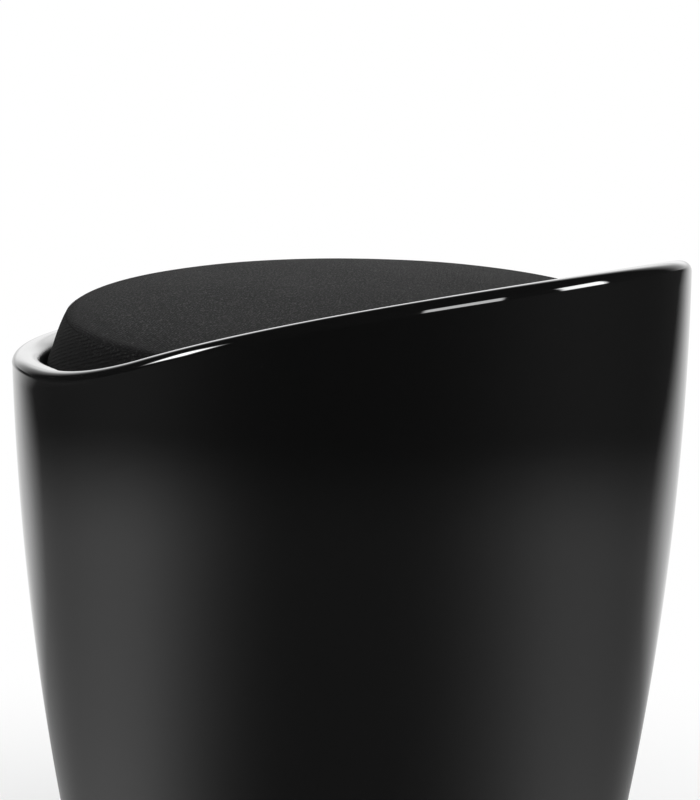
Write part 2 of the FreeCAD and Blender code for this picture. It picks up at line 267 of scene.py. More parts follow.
def gloss_black(position):
    """Glossy black moulding: a faint ripple in the gloss, a little dust, and a duller inside."""
    x, y, z = position.axes()
    from_widest = z - WIDEST_HEIGHT
    bow = (SIDE_CURVE_RADIUS ** 2 - from_widest * from_widest).math("SQRT")
    inset = bow + (TOP_RADIUS - SIDE_CURVE_RADIUS) - (x * x + y * y).math("SQRT")
    inside = inset.step(RIM_WIDTH - DULL_EDGE, RIM_WIDTH)
    ripple = position.noise(70, 1.0)
    haze = position.noise(9, 3.0)
    dust = position.noise(420, 2.0, 0.6).step(0.72, 0.78)
    return {
        "Base Color": dust.between(grey(0.0032), grey(0.012)),
        "Roughness": 0.025 + haze * 0.03 + dust * 0.12 + inside * 0.3,
        "IOR": 1.5,
        "Normal": ripple.bump(0.00006, 0.35),
    }


def satin_black(position):
    """Inside of the tub: fine spark-eroded grain, slightly greyer than the gloss."""
    grain = position.noise(1500, 2.0, 0.6)
    haze = position.noise(14, 3.0)
    return {
        "Base Color": haze.between(grey(0.008), grey(0.013)),
        "Roughness": 0.42 + grain * 0.16,
        "Normal": grain.bump(0.00012, 0.6),
    }


def foot_rubber(position):
    """Dark rubber with a dull skin and dusty wear."""
    grain = position.noise(900, 3.0, 0.6)
    dust = position.noise(120, 4.0, 0.6)
    return {
        "Base Color": dust.between(grey(0.014), grey(0.05, 0.04)),
        "Roughness": 0.72 + grain * 0.2,
        "Normal": grain.bump(0.0002, 0.5),
    }


def zinc_plate(position):
    """Zinc-plated steel with faint turning marks and dull patches."""
    patch = position.noise(260, 3.0)
    marks = position.noise(2200, 2.0, 0.7)
    return {
        "Base Color": patch.between(grey(0.46, -0.02), grey(0.62, 0.01)),
        "Metallic": 1.0,
        "Roughness": 0.26 + patch * 0.2,
        "Normal": marks.bump(0.00003, 0.4),
    }


# Finishes of the seat

def weave_height(position, across, along, rib_share):
    """Threads crossing over and under, with broken ribs that climb across them."""
    turn = math.pi / THREAD_PITCH
    crossing = (across * turn).math("SINE") * (along * turn).math("SINE")
    ribs = ((along - across * RIB_CLIMB) * (2 * math.pi / RIB_PITCH)).math("SINE")
    broken = position.noise(330, 2.0).step(0.38, 0.6)
    return crossing * 0.2 + ribs * broken * rib_share


def seat_cloth(position, side=False):
    """Black woven cloth, with painted shade that darkens it from the top towards the seam and down the side.
    Threads run straight on the top and round the side.
    """
    x, y, z = position.axes()
    seam_radius, seam_height = edge_point(math.radians(SEAT_SEAM_TURN))
    if side:
        across = y.math("ARCTAN2", x) * SEAT_RADIUS
        along = z
        rib_share = 0.42
        fleck_share = 1.5
        above_seam = z - seam_height
    else:
        turn = math.radians(WEAVE_TURN)
        across = x * math.cos(turn) + y * math.sin(turn)
        along = y * math.cos(turn) - x * math.sin(turn)
        rib_share = 0.06
        fleck_share = 0.95
        above_seam = seam_radius - (x * x + y * y).math("SQRT")
    # Painted shade: the lighter threads darken from the top towards the seam and down the side, standing in
    # for the shading of the rounded edge
    painted_shading = above_seam.step(PAINTED_SHADING_START, PAINTED_SHADING_FULL)
    light_thread = painted_shading.between(grey(0.017), grey(0.066))
    fibre = position.noise(1200, 3.0, 0.65)
    fleck = position.noise(950, 2.0, 0.6).step(0.48, 0.7)
    cloud = position.noise(30, 3.0, 0.5)
    height = weave_height(position, across, along, rib_share) + fibre * 0.6 + fleck * 0.3
    tone = height * 1.25 + fleck * fleck_share + cloud * 0.12 - 0.25 - fleck_share / 2
    return {
        "Base Color": tone.between(grey(0.0045), light_thread),
        "Roughness": 0.92,
        "Specular IOR Level": 0.06,
        "Sheen Weight": 0.03,
        "Sheen Roughness": 0.5,
        "Normal": height.bump(0.0005, 0.9),
    }


def sewing_thread(position):
    """Black spun thread, nearly as dull as the cloth."""
    twist = position.noise(1800, 2.0)
    return {
        "Base Color": twist.between(grey(0.006), grey(0.016)),
        "Roughness": 0.7 + twist * 0.2,
        "Specular IOR Level": 0.12,
        "Normal": twist.bump(0.0001, 0.5),
    }


def pad_foam(position):
    """Cut foam: pale, with open cells."""
    cells = position.add("ShaderNodeTexVoronoi", None, {"Vector": position, "Scale": 900.0})
    cloud = position.noise(40, 3.0)
    return {
        "Base Color": (cells * 0.5 + cloud * 0.4).between((0.52, 0.42, 0.25, 1), (0.78, 0.7, 0.5, 1)),
        "Roughness": 0.95,
        "Normal": cells.bump(0.0005, 0.8),
    }


def board_ply(position):
    """Plywood: long grain on the faces, and its layers in the edge and the holes."""
    z = position.axes()[2]
    grain_place = position.add(
        "ShaderNodeVectorMath", {"operation": "MULTIPLY"}, {0: position, 1: (7.0, 160.0, 30.0)}
    )
    grain = grain_place.noise(1.0, 4.0, 0.6)
    layers = (z * (2 * math.pi / PLY_PITCH)).math("SINE").step(-0.25, 0.25)
    tone = grain * 0.75 + layers * 0.22
    return {
        "Base Color": tone.between((0.30, 0.17, 0.075, 1), (0.66, 0.47, 0.27, 1)),
        "Roughness": 0.55 + grain * 0.25,
        "Normal": grain.bump(0.00025, 0.4),
    }


def dust_cloth(position):
    """Thin black non-woven cloth, pressed with rows of small points."""
    x, y = position.axes()[:2]
    turn = math.pi / PRESSED_POINT_PITCH
    points = ((x + y) * turn).math("SINE") * ((x - y) * turn).math("SINE")
    pressed = points.step(0.35, 0.8)
    fibre = position.noise(700, 4.0, 0.7)
    return {
        "Base Color": (fibre * 0.8 + pressed * 0.25).between(grey(0.012), grey(0.05)),
        "Roughness": 0.8 - pressed * 0.3,
        "Normal": (fibre * 0.7 - pressed * 0.8).bump(0.0003, 0.7),
    }


def staple_wire(position):
    """Galvanised staple wire."""
    patch = position.noise(600, 3.0)
    return {
        "Base Color": patch.between(grey(0.5), grey(0.72)),
        "Metallic": 1.0,
        "Roughness": 0.24 + patch * 0.18,
    }


# Shapes

def side_radius(height, inset=0.0):
    """Radius of the tub's curved side, or of a surface at an inset from it."""
    bow = np.sqrt((SIDE_CURVE_RADIUS - inset) ** 2 - (height - WIDEST_HEIGHT) ** 2)
    return TOP_RADIUS - SIDE_CURVE_RADIUS + bow


def rim_top(y):
    """Height and slope of the rim's top along Y: a gentle rise, an upward sweep, a crowned climb."""
    tilt = math.radians(RIM_FRONT_TILT)
    steepest = math.radians(RIM_STEEPEST)
    start_height = RIM_LOW + (RIM_SWEEP_START + TOP_RADIUS) * math.tan(tilt)
    sweep_y = RIM_SWEEP_START - RIM_SWEEP_RADIUS * math.sin(tilt)
    sweep_z = start_height + RIM_SWEEP_RADIUS * math.cos(tilt)
    sweep_end = sweep_y + RIM_SWEEP_RADIUS * math.sin(steepest)
    crown_y = sweep_y + (RIM_SWEEP_RADIUS + RIM_CROWN_RADIUS) * math.sin(steepest)
    crown_z = sweep_z - (RIM_SWEEP_RADIUS + RIM_CROWN_RADIUS) * math.cos(steepest)
    on_sweep = np.clip(y, RIM_SWEEP_START, sweep_end) - sweep_y
    on_crown = np.maximum(y, sweep_end) - crown_y
    sweep_reach = np.sqrt(RIM_SWEEP_RADIUS ** 2 - on_sweep ** 2)
    crown_reach = np.sqrt(RIM_CROWN_RADIUS ** 2 - on_crown ** 2)
    places = [y < RIM_SWEEP_START, y < sweep_end]
    front = start_height + (y - RIM_SWEEP_START) * math.tan(tilt)
    height = np.select(places, [front, sweep_z - sweep_reach], crown_z + crown_reach)
    slope = np.select(places, [math.tan(tilt), on_sweep / sweep_reach], -on_crown / crown_reach)
    return height, slope


def rim_height(turns, radius):
    """Height of the rim's top on a circle of that radius."""
    return rim_top(radius * np.sin(turns))[0]


def ring(turns, radius, height):
    """Points round the axis. Radius and height may differ from turn to turn."""
    flat = np.zeros_like(turns)
    return np.column_stack(((radius + flat) * np.cos(turns), (radius + flat) * np.sin(turns), height + flat))


def turned_faces(rows, count, first=0):
    """Quads between neighbouring rings of count points each."""
    here = np.arange(count)
    after = (here + 1) % count
    faces = []
    for row in range(rows - 1):
        low = first + row * count
        high = low + count
        faces += np.column_stack((low + here, low + after, high + after, high + here)).tolist()
    return faces


def add_object(name, data):
    """A new object in the scene: a mesh, a lamp or a camera."""
    thing = bpy.data.objects.new(name, data)
    bpy.context.scene.collection.objects.link(thing)
    return thing


def add_mesh(name, points, faces):
    """A new object in the scene, with a mesh of these points and faces."""
    mesh = bpy.data.meshes.new(name)
    mesh.from_pydata(np.asarray(points).tolist(), [], faces)
    return add_object(name, mesh)


def dressed(name, points, faces, material, body, replaced=(), crease=CREASE_ANGLE):
    """A smooth piece on a body, creased where its faces meet at more than crease degrees."""
    piece = add_mesh(name, points, faces)
    piece.data.shade_smooth()
    piece.data.set_sharp_from_angle(angle=math.radians(crease))
    piece.data.materials.append(material)
    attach(piece, body)
    if replaced:
        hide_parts(*replaced)
    return piece


def settle(piece):
    """Puts what the piece's modifiers make into its mesh."""
    bpy.context.view_layer.update()
    graph = bpy.context.evaluated_depsgraph_get()
    made = bpy.data.meshes.new_from_object(piece.evaluated_get(graph))
    piece.modifiers.clear()
    piece.data = made


def points_of(piece):
    """The piece's vertices as rows of x, y and z."""
    flat = np.empty(len(piece.data.vertices) * 3)
    piece.data.vertices.foreach_get("co", flat)
    return flat.reshape(-1, 3)


def put_points(piece, points):
    """Moves the piece's vertices to points."""
    piece.data.vertices.foreach_set("co", np.ascontiguousarray(points, dtype=np.float32).ravel())
    piece.data.update()


# The tub

def base_edge(turns, inset):
    """Rings round the base's edge, from the floor side up to the side wall."""
    radius = BASE_EDGE_RADIUS - inset
    height = FLOOR_GAP + BASE_EDGE_RADIUS
    centre = side_radius(height, BASE_EDGE_RADIUS)
    lean = math.asin((WIDEST_HEIGHT - height) / (SIDE_CURVE_RADIUS - BASE_EDGE_RADIUS))
    return [
        ring(turns, centre + radius * math.cos(angle), height + radius * math.sin(angle))
        for angle in np.linspace(-math.pi / 2, -lean, BASE_EDGE_RINGS)
    ]


def wall(turns, inset, low, high, rows):
    """Rings on the side wall between two heights, which may follow the rim."""
    rings = []
    for share in np.linspace(0, 1, rows + 1)[1:]:
        height = low + (high - low) * share
        rings.append(ring(turns, side_radius(height, inset), height))
    return rings


def rim_round(turns, inset, radius, first_share, last_share, steps):
    """Rings round one edge of the rim: share 0 faces out, 1 lies in the rim's top, 2 faces in."""
    height = rim_height(turns, TOP_RADIUS - inset)
    centre = side_radius(height, inset)
    top, slope = rim_top(centre * np.sin(turns))
    outward = slope * np.sin(turns)
    stretch = np.hypot(1, slope * np.cos(turns))
    middle = top - radius * np.hypot(stretch, outward)
    crest = np.arctan2(stretch, -outward)
    rings = []
    for share in np.linspace(first_share, last_share, steps):
        angle = crest * min(share, 1) + (math.pi - crest) * max(share - 1, 0)
        rings.append(ring(turns, centre + radius * np.cos(angle), middle + radius * stretch * np.sin(angle)))
    return rings


def wall_to(turns, inset, start, drop, rows):
    """Rings on the side wall from the last ring's height to the rim's top lowered by drop."""
    return wall(turns, inset, start[:, 2], rim_height(turns, TOP_RADIUS - inset) - drop, rows)


def make_shell():
    """The glossy outer shell: dished base, curved side, rounded rim and its return."""
    turns = np.linspace(0, 2 * math.pi, SHELL_TURNS, endpoint=False)
    dish_foot = BASE_DISH_RADIUS + BASE_DISH_DEPTH
    dish_top = FLOOR_GAP + BASE_DISH_DEPTH
    rings = [ring(turns, BASE_DISH_RADIUS, dish_top), ring(turns, dish_foot, FLOOR_GAP)]
    rings += base_edge(turns, 0.0)
    outer_round = rim_round(turns, RIM_OUTER_ROUND, RIM_OUTER_ROUND, 0, 1, OUTER_ROUND_RINGS)
    rings += wall(turns, 0.0, rings[-1][0, 2], outer_round[0][:, 2], OUTER_WALL_ROWS)
    rings += outer_round[1:]
    rings += rim_round(turns, RIM_WIDTH - RIM_INNER_ROUND, RIM_INNER_ROUND, 1, 2, INNER_ROUND_RINGS)
    rings += wall_to(turns, RIM_WIDTH, rings[-1], RIM_RETURN_DEPTH, RETURN_FRONT_ROWS)
    back = RIM_WIDTH - RIM_RETURN_WALL
    return_end = rim_height(turns, TOP_RADIUS - back) - RIM_RETURN_DEPTH
    rings.append(ring(turns, side_radius(return_end, back), return_end))
    rings += wall_to(turns, back, rings[-1], RIM_SKIN, RETURN_BACK_ROWS)
    skin = rim_height(turns, TOP_RADIUS - SHELL_WALL) - RIM_SKIN
    rings.append(ring(turns, side_radius(skin, SHELL_WALL), skin))
    inner_edge = base_edge(turns, SHELL_WALL)
    rings += wall(turns, SHELL_WALL, skin, inner_edge[-1][0, 2], INNER_WALL_ROWS)
    rings += inner_edge[-2::-1]
    rings.append(ring(turns, dish_foot, FLOOR_GAP + SHELL_WALL))
    rings.append(ring(turns, BASE_DISH_RADIUS, dish_top + SHELL_WALL))
    faces = turned_faces(len(rings), SHELL_TURNS)
    faces.append(list(range(SHELL_TURNS - 1, -1, -1)))
    last = (len(rings) - 1) * SHELL_TURNS
    faces.append(list(range(last, last + SHELL_TURNS)))
    gloss = finish_named("shell_gloss_black", gloss_black)
    shell = dressed(
        "stool_shell", np.concatenate(rings), faces, gloss, "tub", ["outer_shell"]
    )
    sink_feet(shell)


def sink_feet(shell):
    """Cuts the shallow recesses that the feet sit in."""
    turns = np.linspace(0, 2 * math.pi, RECESS_TURNS, endpoint=False)
    points = []
    faces = []
    for foot in range(FOOT_COUNT):
        angle = math.radians(FOOT_FIRST_ANGLE + 360 / FOOT_COUNT * foot)
        centre = (FOOT_PITCH_RADIUS * math.cos(angle), FOOT_PITCH_RADIUS * math.sin(angle), 0)
        first = foot * 2 * len(turns)
        for height in (0.0, FLOOR_GAP + FOOT_RECESS_DEPTH):
            points.append(ring(turns, FOOT_RECESS_RADIUS, height) + np.array(centre))
        faces += turned_faces(2, len(turns), first)
        faces.append([first + turn for turn in range(len(turns) - 1, -1, -1)])
        faces.append([first + len(turns) + turn for turn in range(len(turns))])
    cutter = add_mesh("foot_recesses", np.concatenate(points), faces)
    cut = shell.modifiers.new("recesses", "BOOLEAN")
    cut.operation = "DIFFERENCE"
    cut.solver = "EXACT"
    cut.object = cutter
    settle(shell)
    bpy.data.objects.remove(cutter)
    shell.data.set_sharp_from_angle(angle=math.radians(CREASE_ANGLE))


# The seat

def arc_point(centre, radius, angle):
    """A point on an arc of the cushion's section, by the angle of its normal above the level."""
    return centre[0] + radius * math.cos(angle), centre[1] + radius * math.sin(angle)


def section_values():
    """Centres and lean of the cushion's section, worked out as in the solids."""
    side_centre = (SEAT_RADIUS - SEAT_SIDE_CURVE_RADIUS, SEAT_UPRIGHT_TOP)
    lean = math.asin((SEAT_BROW - SEAT_UPRIGHT_TOP) / SEAT_SIDE_CURVE_RADIUS)
    edge_centre = arc_point(side_centre, SEAT_SIDE_CURVE_RADIUS - SEAT_EDGE_ROUND, lean)
    return side_centre, lean, edge_centre


def edge_point(angle):
    """A point of the cushion's rounded edge, by the angle of its normal above the level."""
    return arc_point(section_values()[2], SEAT_EDGE_ROUND, angle)


def top_rows():
    """Radius and height of the top panel's rings, from the middle to the seam."""
    shoulder = math.radians(90 - SEAT_CROWN_EDGE_SLOPE)
    shoulder_radius, shoulder_height = edge_point(shoulder)
    crown = shoulder_radius / math.sin(math.radians(SEAT_CROWN_EDGE_SLOPE))
    drop = crown * math.cos(math.radians(SEAT_CROWN_EDGE_SLOPE))
    rows = []
    for radius in np.linspace(0, shoulder_radius, PAD_RINGS + 1 - EDGE_RINGS):
        rows.append((radius, shoulder_height - drop + math.sqrt(crown ** 2 - radius ** 2)))
    for angle in np.linspace(shoulder, math.radians(SEAT_SEAM_TURN), EDGE_RINGS + 1)[1:]:
        rows.append(edge_point(angle))
    return rows


def side_rows():
    """Radius and height of the side band's rings, from the seam down to the hem's end."""
    side_centre, lean = section_values()[:2]
    corner_centre = (SEAT_RADIUS - SEAT_CORNER_ROUND, SEAT_BOTTOM + SEAT_CORNER_ROUND)
    edge_angles = np.linspace(math.radians(SEAT_SEAM_TURN), lean, BAND_EDGE_RINGS)
    side_angles = np.linspace(lean, 0, BAND_SIDE_RINGS + 1)[1:]
    heights = np.linspace(SEAT_UPRIGHT_TOP, corner_centre[1], BAND_UPRIGHT_RINGS + 1)[1:]
    corner_angles = np.linspace(0, -math.pi / 2, BAND_CORNER_RINGS + 1)[1:]
    hem_radii = np.linspace(corner_centre[0], HEM_INNER_RADIUS, BAND_HEM_RINGS + 1)[1:]
    rows = [edge_point(angle) for angle in edge_angles]
    rows += [arc_point(side_centre, SEAT_SIDE_CURVE_RADIUS, angle) for angle in side_angles]
    rows += [(SEAT_RADIUS, height) for height in heights]
    rows += [arc_point(corner_centre, SEAT_CORNER_ROUND, angle) for angle in corner_angles]
    rows += [(radius, SEAT_BOTTOM) for radius in hem_radii]
    return rows


def round_grid(rings):
    """A square grid drawn into a disc: each point's ring and turn, its faces, and its outer ring in order."""
    span = range(-rings, rings + 1)
    eighth = math.pi / 4
    places = []
    number = {}
    for j in span:
        for i in span:
            number[i, j] = len(places)
            around = max(abs(i), abs(j))
            if around == 0:
                turn = 0.0
            elif i == around:
                turn = j / around * eighth
            elif j == around:
                turn = (2 - i / around) * eighth
            elif i == -around:
                turn = (4 - j / around) * eighth
            else:
                turn = (6 + i / around) * eighth
            places.append((around, turn % (2 * math.pi)))
    faces = [
        (number[i, j], number[i + 1, j], number[i + 1, j + 1], number[i, j + 1])
        for j in range(-rings, rings)
        for i in range(-rings, rings)
    ]
    outer = [place for place, (around, turn) in enumerate(places) if around == rings]
    outer.sort(key=lambda place: places[place][1])
    return places, faces, outer


def grid_points(places, rows):
    """Points of a round grid whose rings have these radii and heights."""
    around = np.array([place[0] for place in places])
    turns = np.array([place[1] for place in places])
    rows = np.array(rows)
    return ring(turns, rows[around, 0], rows[around, 1])


def slack(rows):
    """The same rings a little lower, for the cloth to fill."""
    rows = np.array(rows)
    middle = np.clip(1 - (rows[:, 0] / SLACK_RADIUS) ** 2, 0, 1)
    return [(radius, height - COVER_SLACK * share) for (radius, height), share in zip(rows, middle)]


def cushion_faces(grid_faces, outer, first, rows):
    """Faces of a closed cushion: its round top, the rings of its side from point first on, and its bottom."""
    count = len(outer)
    faces = list(grid_faces)
    faces += [
        (outer[(turn + 1) % count], outer[turn], first + turn, first + (turn + 1) % count)
        for turn in range(count)
    ]
    faces += [face[::-1] for face in turned_faces(rows, count, first)]
    last = first + (rows - 1) * count
    faces.append(list(range(last + count - 1, last - 1, -1)))
    return faces


def even_out(moved, faces, held):
    """Averages each point's movement with its neighbours' over and over, so that no creases stay."""
    quads = [tuple(face) for face in faces if len(face) == 4]
    edges = {tuple(sorted(pair)) for quad in quads for pair in zip(quad, quad[1:] + quad[:1])}
    first, second = np.array(sorted(edges)).T
    count = np.bincount(first, minlength=len(moved)) + np.bincount(second, minlength=len(moved))
    for _ in range(EVENING_ROUNDS):
        total = np.zeros_like(moved)
        np.add.at(total, first, moved[second])
        np.add.at(total, second, moved[first])
        moved = (moved + total / np.maximum(count, 1)[:, None]) / 2
        moved[held] = 0
    return moved


def swell(points, faces, held):
    """Blows the cover up over its pad as cloth. Held points stay, and none moves further than its reach."""
    cover = add_mesh("seat_filling", points, faces)
    cover.vertex_groups.new(name="held").add([int(point) for point in held], 1.0, "REPLACE")
    cloth = cover.modifiers.new("cloth", "CLOTH")
    cloth.settings.use_pressure = True
    cloth.settings.uniform_pressure_force = COVER_PRESSURE
    cloth.settings.effector_weights.gravity = 0
    cloth.settings.vertex_group_mass = "held"
    cloth.point_cache.frame_start = 1
    cloth.point_cache.frame_end = COVER_FRAMES
    scene = bpy.context.scene
    for moment in range(1, COVER_FRAMES + 1):
        scene.frame_set(moment)
    settle(cover)
    moved = even_out(points_of(cover) - points, faces, held)
    scene.frame_set(1)
    bpy.data.objects.remove(cover)
    length = np.linalg.norm(moved, axis=1, keepdims=True)
    return points + moved * np.minimum(1, COVER_REACH / np.maximum(length, 1e-9))


def cover_points(places, grid_faces, outer):
    """Points of the top panel and of the side band's rings, after the cloth has filled out."""
    turns = np.array([places[place][1] for place in outer])
    band = side_rows()
    start_side = [ring(turns, radius, height) for radius, height in band]
    start_top = grid_points(places, slack(top_rows()))
    count = len(outer)
    first = len(start_top)
    faces = cushion_faces(grid_faces, outer, first, len(band) - 1)
    held = [
        first + row * count + turn
        for row, (radius, height) in enumerate(band[1:])
        for turn in range(count)
        if height < SEAT_UPRIGHT_TOP + HELD_SIDE
    ]
    held += [place for place, (around, turn) in enumerate(places) if around >= PAD_RINGS - EDGE_RINGS]
    filled = swell(np.concatenate([start_top] + start_side[1:]), faces, held)
    top = filled[:first]
    side = np.split(filled[first:], len(band) - 1)
    return top, [top[outer]] + side


def refine(piece):
    """Divides each face of a sheet in four, and smooths it."""
    smooth = piece.modifiers.new("smooth", "SUBSURF")
    smooth.levels = 1
    smooth.render_levels = 1
    settle(piece)


def line_with(piece, thickness):
    """Gives a sheet its thickness, on the side away from its face, with plain cut edges."""
    lining = piece.modifiers.new("lining", "SOLIDIFY")
    lining.thickness = thickness
    lining.offset = -1
    settle(piece)
    piece.data.set_sharp_from_angle(angle=math.radians(CUT_EDGE_ANGLE))


def eased(values, low, high):
    """0 below low, 1 above high, and smooth between them."""
    share = np.clip((values - low) / (high - low), 0, 1)
    return share * share * (3 - 2 * share)


def radii_of(points):
    """Each point's distance from the seat's axis."""
    return np.hypot(points[:, 0], points[:, 1])


def turns_of(points):
    """Each point's turn round the seat's axis."""
    return np.arctan2(points[:, 1], points[:, 0])


def spread(points, outward):
    """The points, each moved straight out from the seat's axis by its own distance."""
    scale = 1 + outward / np.maximum(radii_of(points), 1e-6)
    return points * np.column_stack((scale, scale, np.ones_like(scale)))


def fill_out(points):
    """The cover's fullness: it stands a little proud of its pad above its low, upright part."""
    high = eased(points[:, 2], SEAT_UPRIGHT_TOP, SEAT_UPRIGHT_TOP + HELD_SIDE)
    outer = eased(radii_of(points), FULL_FROM_RADIUS, FULL_AT_RADIUS)
    return spread(points, COVER_FULLNESS * high * outer)


def seam_dip(points, seam):
    """Draws cloth in along the sewn seam, with the slight puckers of its stitches."""
    turns = turns_of(points)
    away = np.hypot(radii_of(points) - seam[0], points[:, 2] - seam[1])
    pucker = 1 + sum(size * np.sin(turns * count + start) for count, size, start in SEAM_PUCKERS)
    dip = SEAM_DIP * np.exp(-(away / SEAM_DIP_WIDTH) ** 2) * pucker
    slope = math.radians(SEAT_SEAM_TURN)
    moved = spread(points, -dip * math.cos(slope))
    moved[:, 2] -= dip * math.sin(slope)
    return moved


def uneven(points):
    """The slight unevenness of foam under cloth: fuller to one side, with a lower shoulder on the other."""
    x, y, z = points.T
    radius = radii_of(points)
    waves = sum(np.sin(x * across + y * along + start) for across, along, start in FOAM_WAVES)
    inside = np.clip(1 - radius / FOAM_WAVE_RADIUS, 0, 1) ** 0.5
    fuller = radius * np.cos(turns_of(points) - math.radians(FULLER_SIDE)) / SEAT_RADIUS
    high = np.clip((z - SEAT_UPRIGHT_TOP) / (SEAT_BROW - SEAT_UPRIGHT_TOP), 0, 1)
    shoulder = np.exp(-((radius - SHOULDER_RADIUS) / SHOULDER_WIDTH) ** 2) * (1 - fuller) / 2
    moved = points.copy()
    moved[:, 2] += FOAM_WAVE_HEIGHT * waves * inside
    moved[:, 2] += (COVER_LIFT * (1 + fuller) - SHOULDER_DROP * shoulder) * high
    return moved


def fold_low(points):
    """The side's slight roll outwards where the cushion goes down behind the rim."""
    height = points[:, 2]
    roll = eased(height, *SIDE_ROLL_LOW) * (1 - eased(height, *SIDE_ROLL_HIGH))
    return spread(points, SIDE_ROLL * roll * (radii_of(points) > SIDE_ROLL_RADIUS))


def hem_pleats(points):
    """Small pleats where the hem is gathered under the board, clear of the ledge."""
    radius = radii_of(points)
    free = np.clip((LEDGE_INNER_RADIUS - radius) / HEM_PLEAT_OUTER_END, 0, 1)
    free *= np.clip((radius - DUST_COVER_RADIUS) / HEM_PLEAT_INNER_END, 0, 1)
    underneath = points[:, 2] < SEAT_BOTTOM + COVER_THICKNESS / 2
    moved = points.copy()
    moved[:, 2] -= HEM_PLEAT_DEPTH * free * underneath * (1 + np.sin(turns_of(points) * HEM_PLEATS))
    return moved


def make_cover():
    """The seat's cover: a round top panel sewn to a side band, over foam."""
    places, grid_faces, outer = round_grid(PAD_RINGS)
    top, side = cover_points(places, grid_faces, outer)
    seam = edge_point(math.radians(SEAT_SEAM_TURN))
    top_cloth = finish_named("seat_cloth_top", seat_cloth)
    side_cloth = finish_named("seat_cloth_side", seat_cloth, side=True)
    panel = dressed(
        "seat_top_panel", top, grid_faces, top_cloth, "seat",
        ["cover_top_panel"], SMOOTH_ALL_OVER
    )
    band_faces = [face[::-1] for face in turned_faces(len(side), len(outer))]
    band = dressed(
        "seat_side_band", np.concatenate(side), band_faces, side_cloth, "seat",
        ["cover_side_band"], SMOOTH_ALL_OVER
    )
    for cloth in (panel, band):
        refine(cloth)
        points = seam_dip(points_of(cloth), seam)
        put_points(cloth, hem_pleats(fold_low(fill_out(uneven(points)))))
        line_with(cloth, COVER_THICKNESS)
    make_pad(grid_faces, outer, top, side)
    make_stitches(seam)


def make_pad(grid_faces, outer, top, side):
    """The foam under the cover, standing on the board."""
    shrink = np.array((1 - PAD_INSET / SEAT_RADIUS, 1 - PAD_INSET / SEAT_RADIUS, 1))
    lower = np.array((0, 0, PAD_INSET))
    rings = [points * shrink - lower for points in side[1:] if points[0, 2] >= BOARD_TOP]
    foot = rings[-1].copy()
    foot[:, 2] = BOARD_TOP
    rings.append(foot)
    points = uneven(np.concatenate([top * shrink - lower] + rings))
    faces = cushion_faces(grid_faces, outer, len(top), len(rings))
    foam = finish_named("seat_pad_foam", pad_foam)
    pad = dressed("seat_pad", points, faces, foam, "seat", ["seat_foam"], CUT_EDGE_ANGLE)


def make_stitches(seam):
    """The thread that shows as short bars down in the seam."""
    points = []
    faces = []
    slope = math.radians(SEAT_SEAM_TURN)
    radius = seam[0] + COVER_FULLNESS - STITCH_DEPTH * math.cos(slope)
    height = seam[1] - STITCH_DEPTH * math.sin(slope)
    around = np.linspace(0, 2 * math.pi, STITCH_SIDES, endpoint=False)
    for stitch in range(STITCH_COUNT):
        turn = 2 * math.pi * stitch / STITCH_COUNT
        out = np.array((math.cos(turn), math.sin(turn), 0))
        along = np.array((-math.sin(turn), math.cos(turn), 0))
        normal = out * math.cos(slope) + np.array((0, 0, math.sin(slope)))
        centre = out * radius + np.array((0, 0, height))
        circle = np.outer(np.cos(around), normal) + np.outer(np.sin(around), np.cross(along, normal))
        first = len(points) * STITCH_SIDES
        for share, thickness in STITCH_RINGS:
            middle = centre + along * STITCH_REACH * share - normal * STITCH_THREAD * share * share
            points.append(middle + circle * STITCH_THREAD * thickness)
        faces += turned_faces(len(STITCH_RINGS), STITCH_SIDES, first)
        last = first + (len(STITCH_RINGS) - 1) * STITCH_SIDES
        faces.append(list(range(first + STITCH_SIDES - 1, first - 1, -1)))
        faces.append(list(range(last, last + STITCH_SIDES)))
    thread = finish_named("seam_thread", sewing_thread)
    dressed(
        "seat_seam_thread", np.concatenate(points), faces, thread, "seat", (), CUT_EDGE_ANGLE
    )


def make_dust_cover():
    """The thin sheet stapled over the seat's underside, slack between its staples."""
    places, faces = round_grid(DUST_COVER_RINGS)[:2]
    radii = np.linspace(0, DUST_COVER_RADIUS, DUST_COVER_RINGS + 1)
    points = grid_points(places, [(radius, SEAT_BOTTOM) for radius in radii])
    share = np.clip(radii_of(points) / DUST_COVER_FREE_RADIUS, 0, 1)
    ripple = 0.5 + 0.5 * np.sin(turns_of(points) * STAPLE_COUNT) * share ** 3
    points[:, 2] -= DUST_COVER_SAG * (1 - share ** 2) ** 0.8 * (0.6 + 0.4 * ripple)
    cloth = finish_named("dust_cover_cloth", dust_cloth)
    sheet = dressed(
        "seat_dust_cover", points, faces, cloth, "seat", ["dust_cover"], SMOOTH_ALL_OVER
    )
    line_with(sheet, DUST_COVER_THICKNESS)


# What the solids already show well

def finish_nodes():
    """Gives the moulded, turned and bent pieces that stay as solids their finishes."""
    rubber = finish_named("foot_rubber", foot_rubber)
    finishes = {
        "storage_liner": finish_named("liner_satin_black", satin_black),
        "foot_screws": finish_named("screw_zinc_plate", zinc_plate),
        "seat_board": finish_named("board_plywood", board_ply),
        "cover_staples": finish_named("staple_wire", staple_wire),
    }
    for foot in range(1, FOOT_COUNT + 1):
        finishes[f"foot_{foot}"] = rubber
    for name, material in finishes.items():
        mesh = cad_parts[name].data
        mesh.materials.clear()
        mesh.materials.append(material)


# Studio

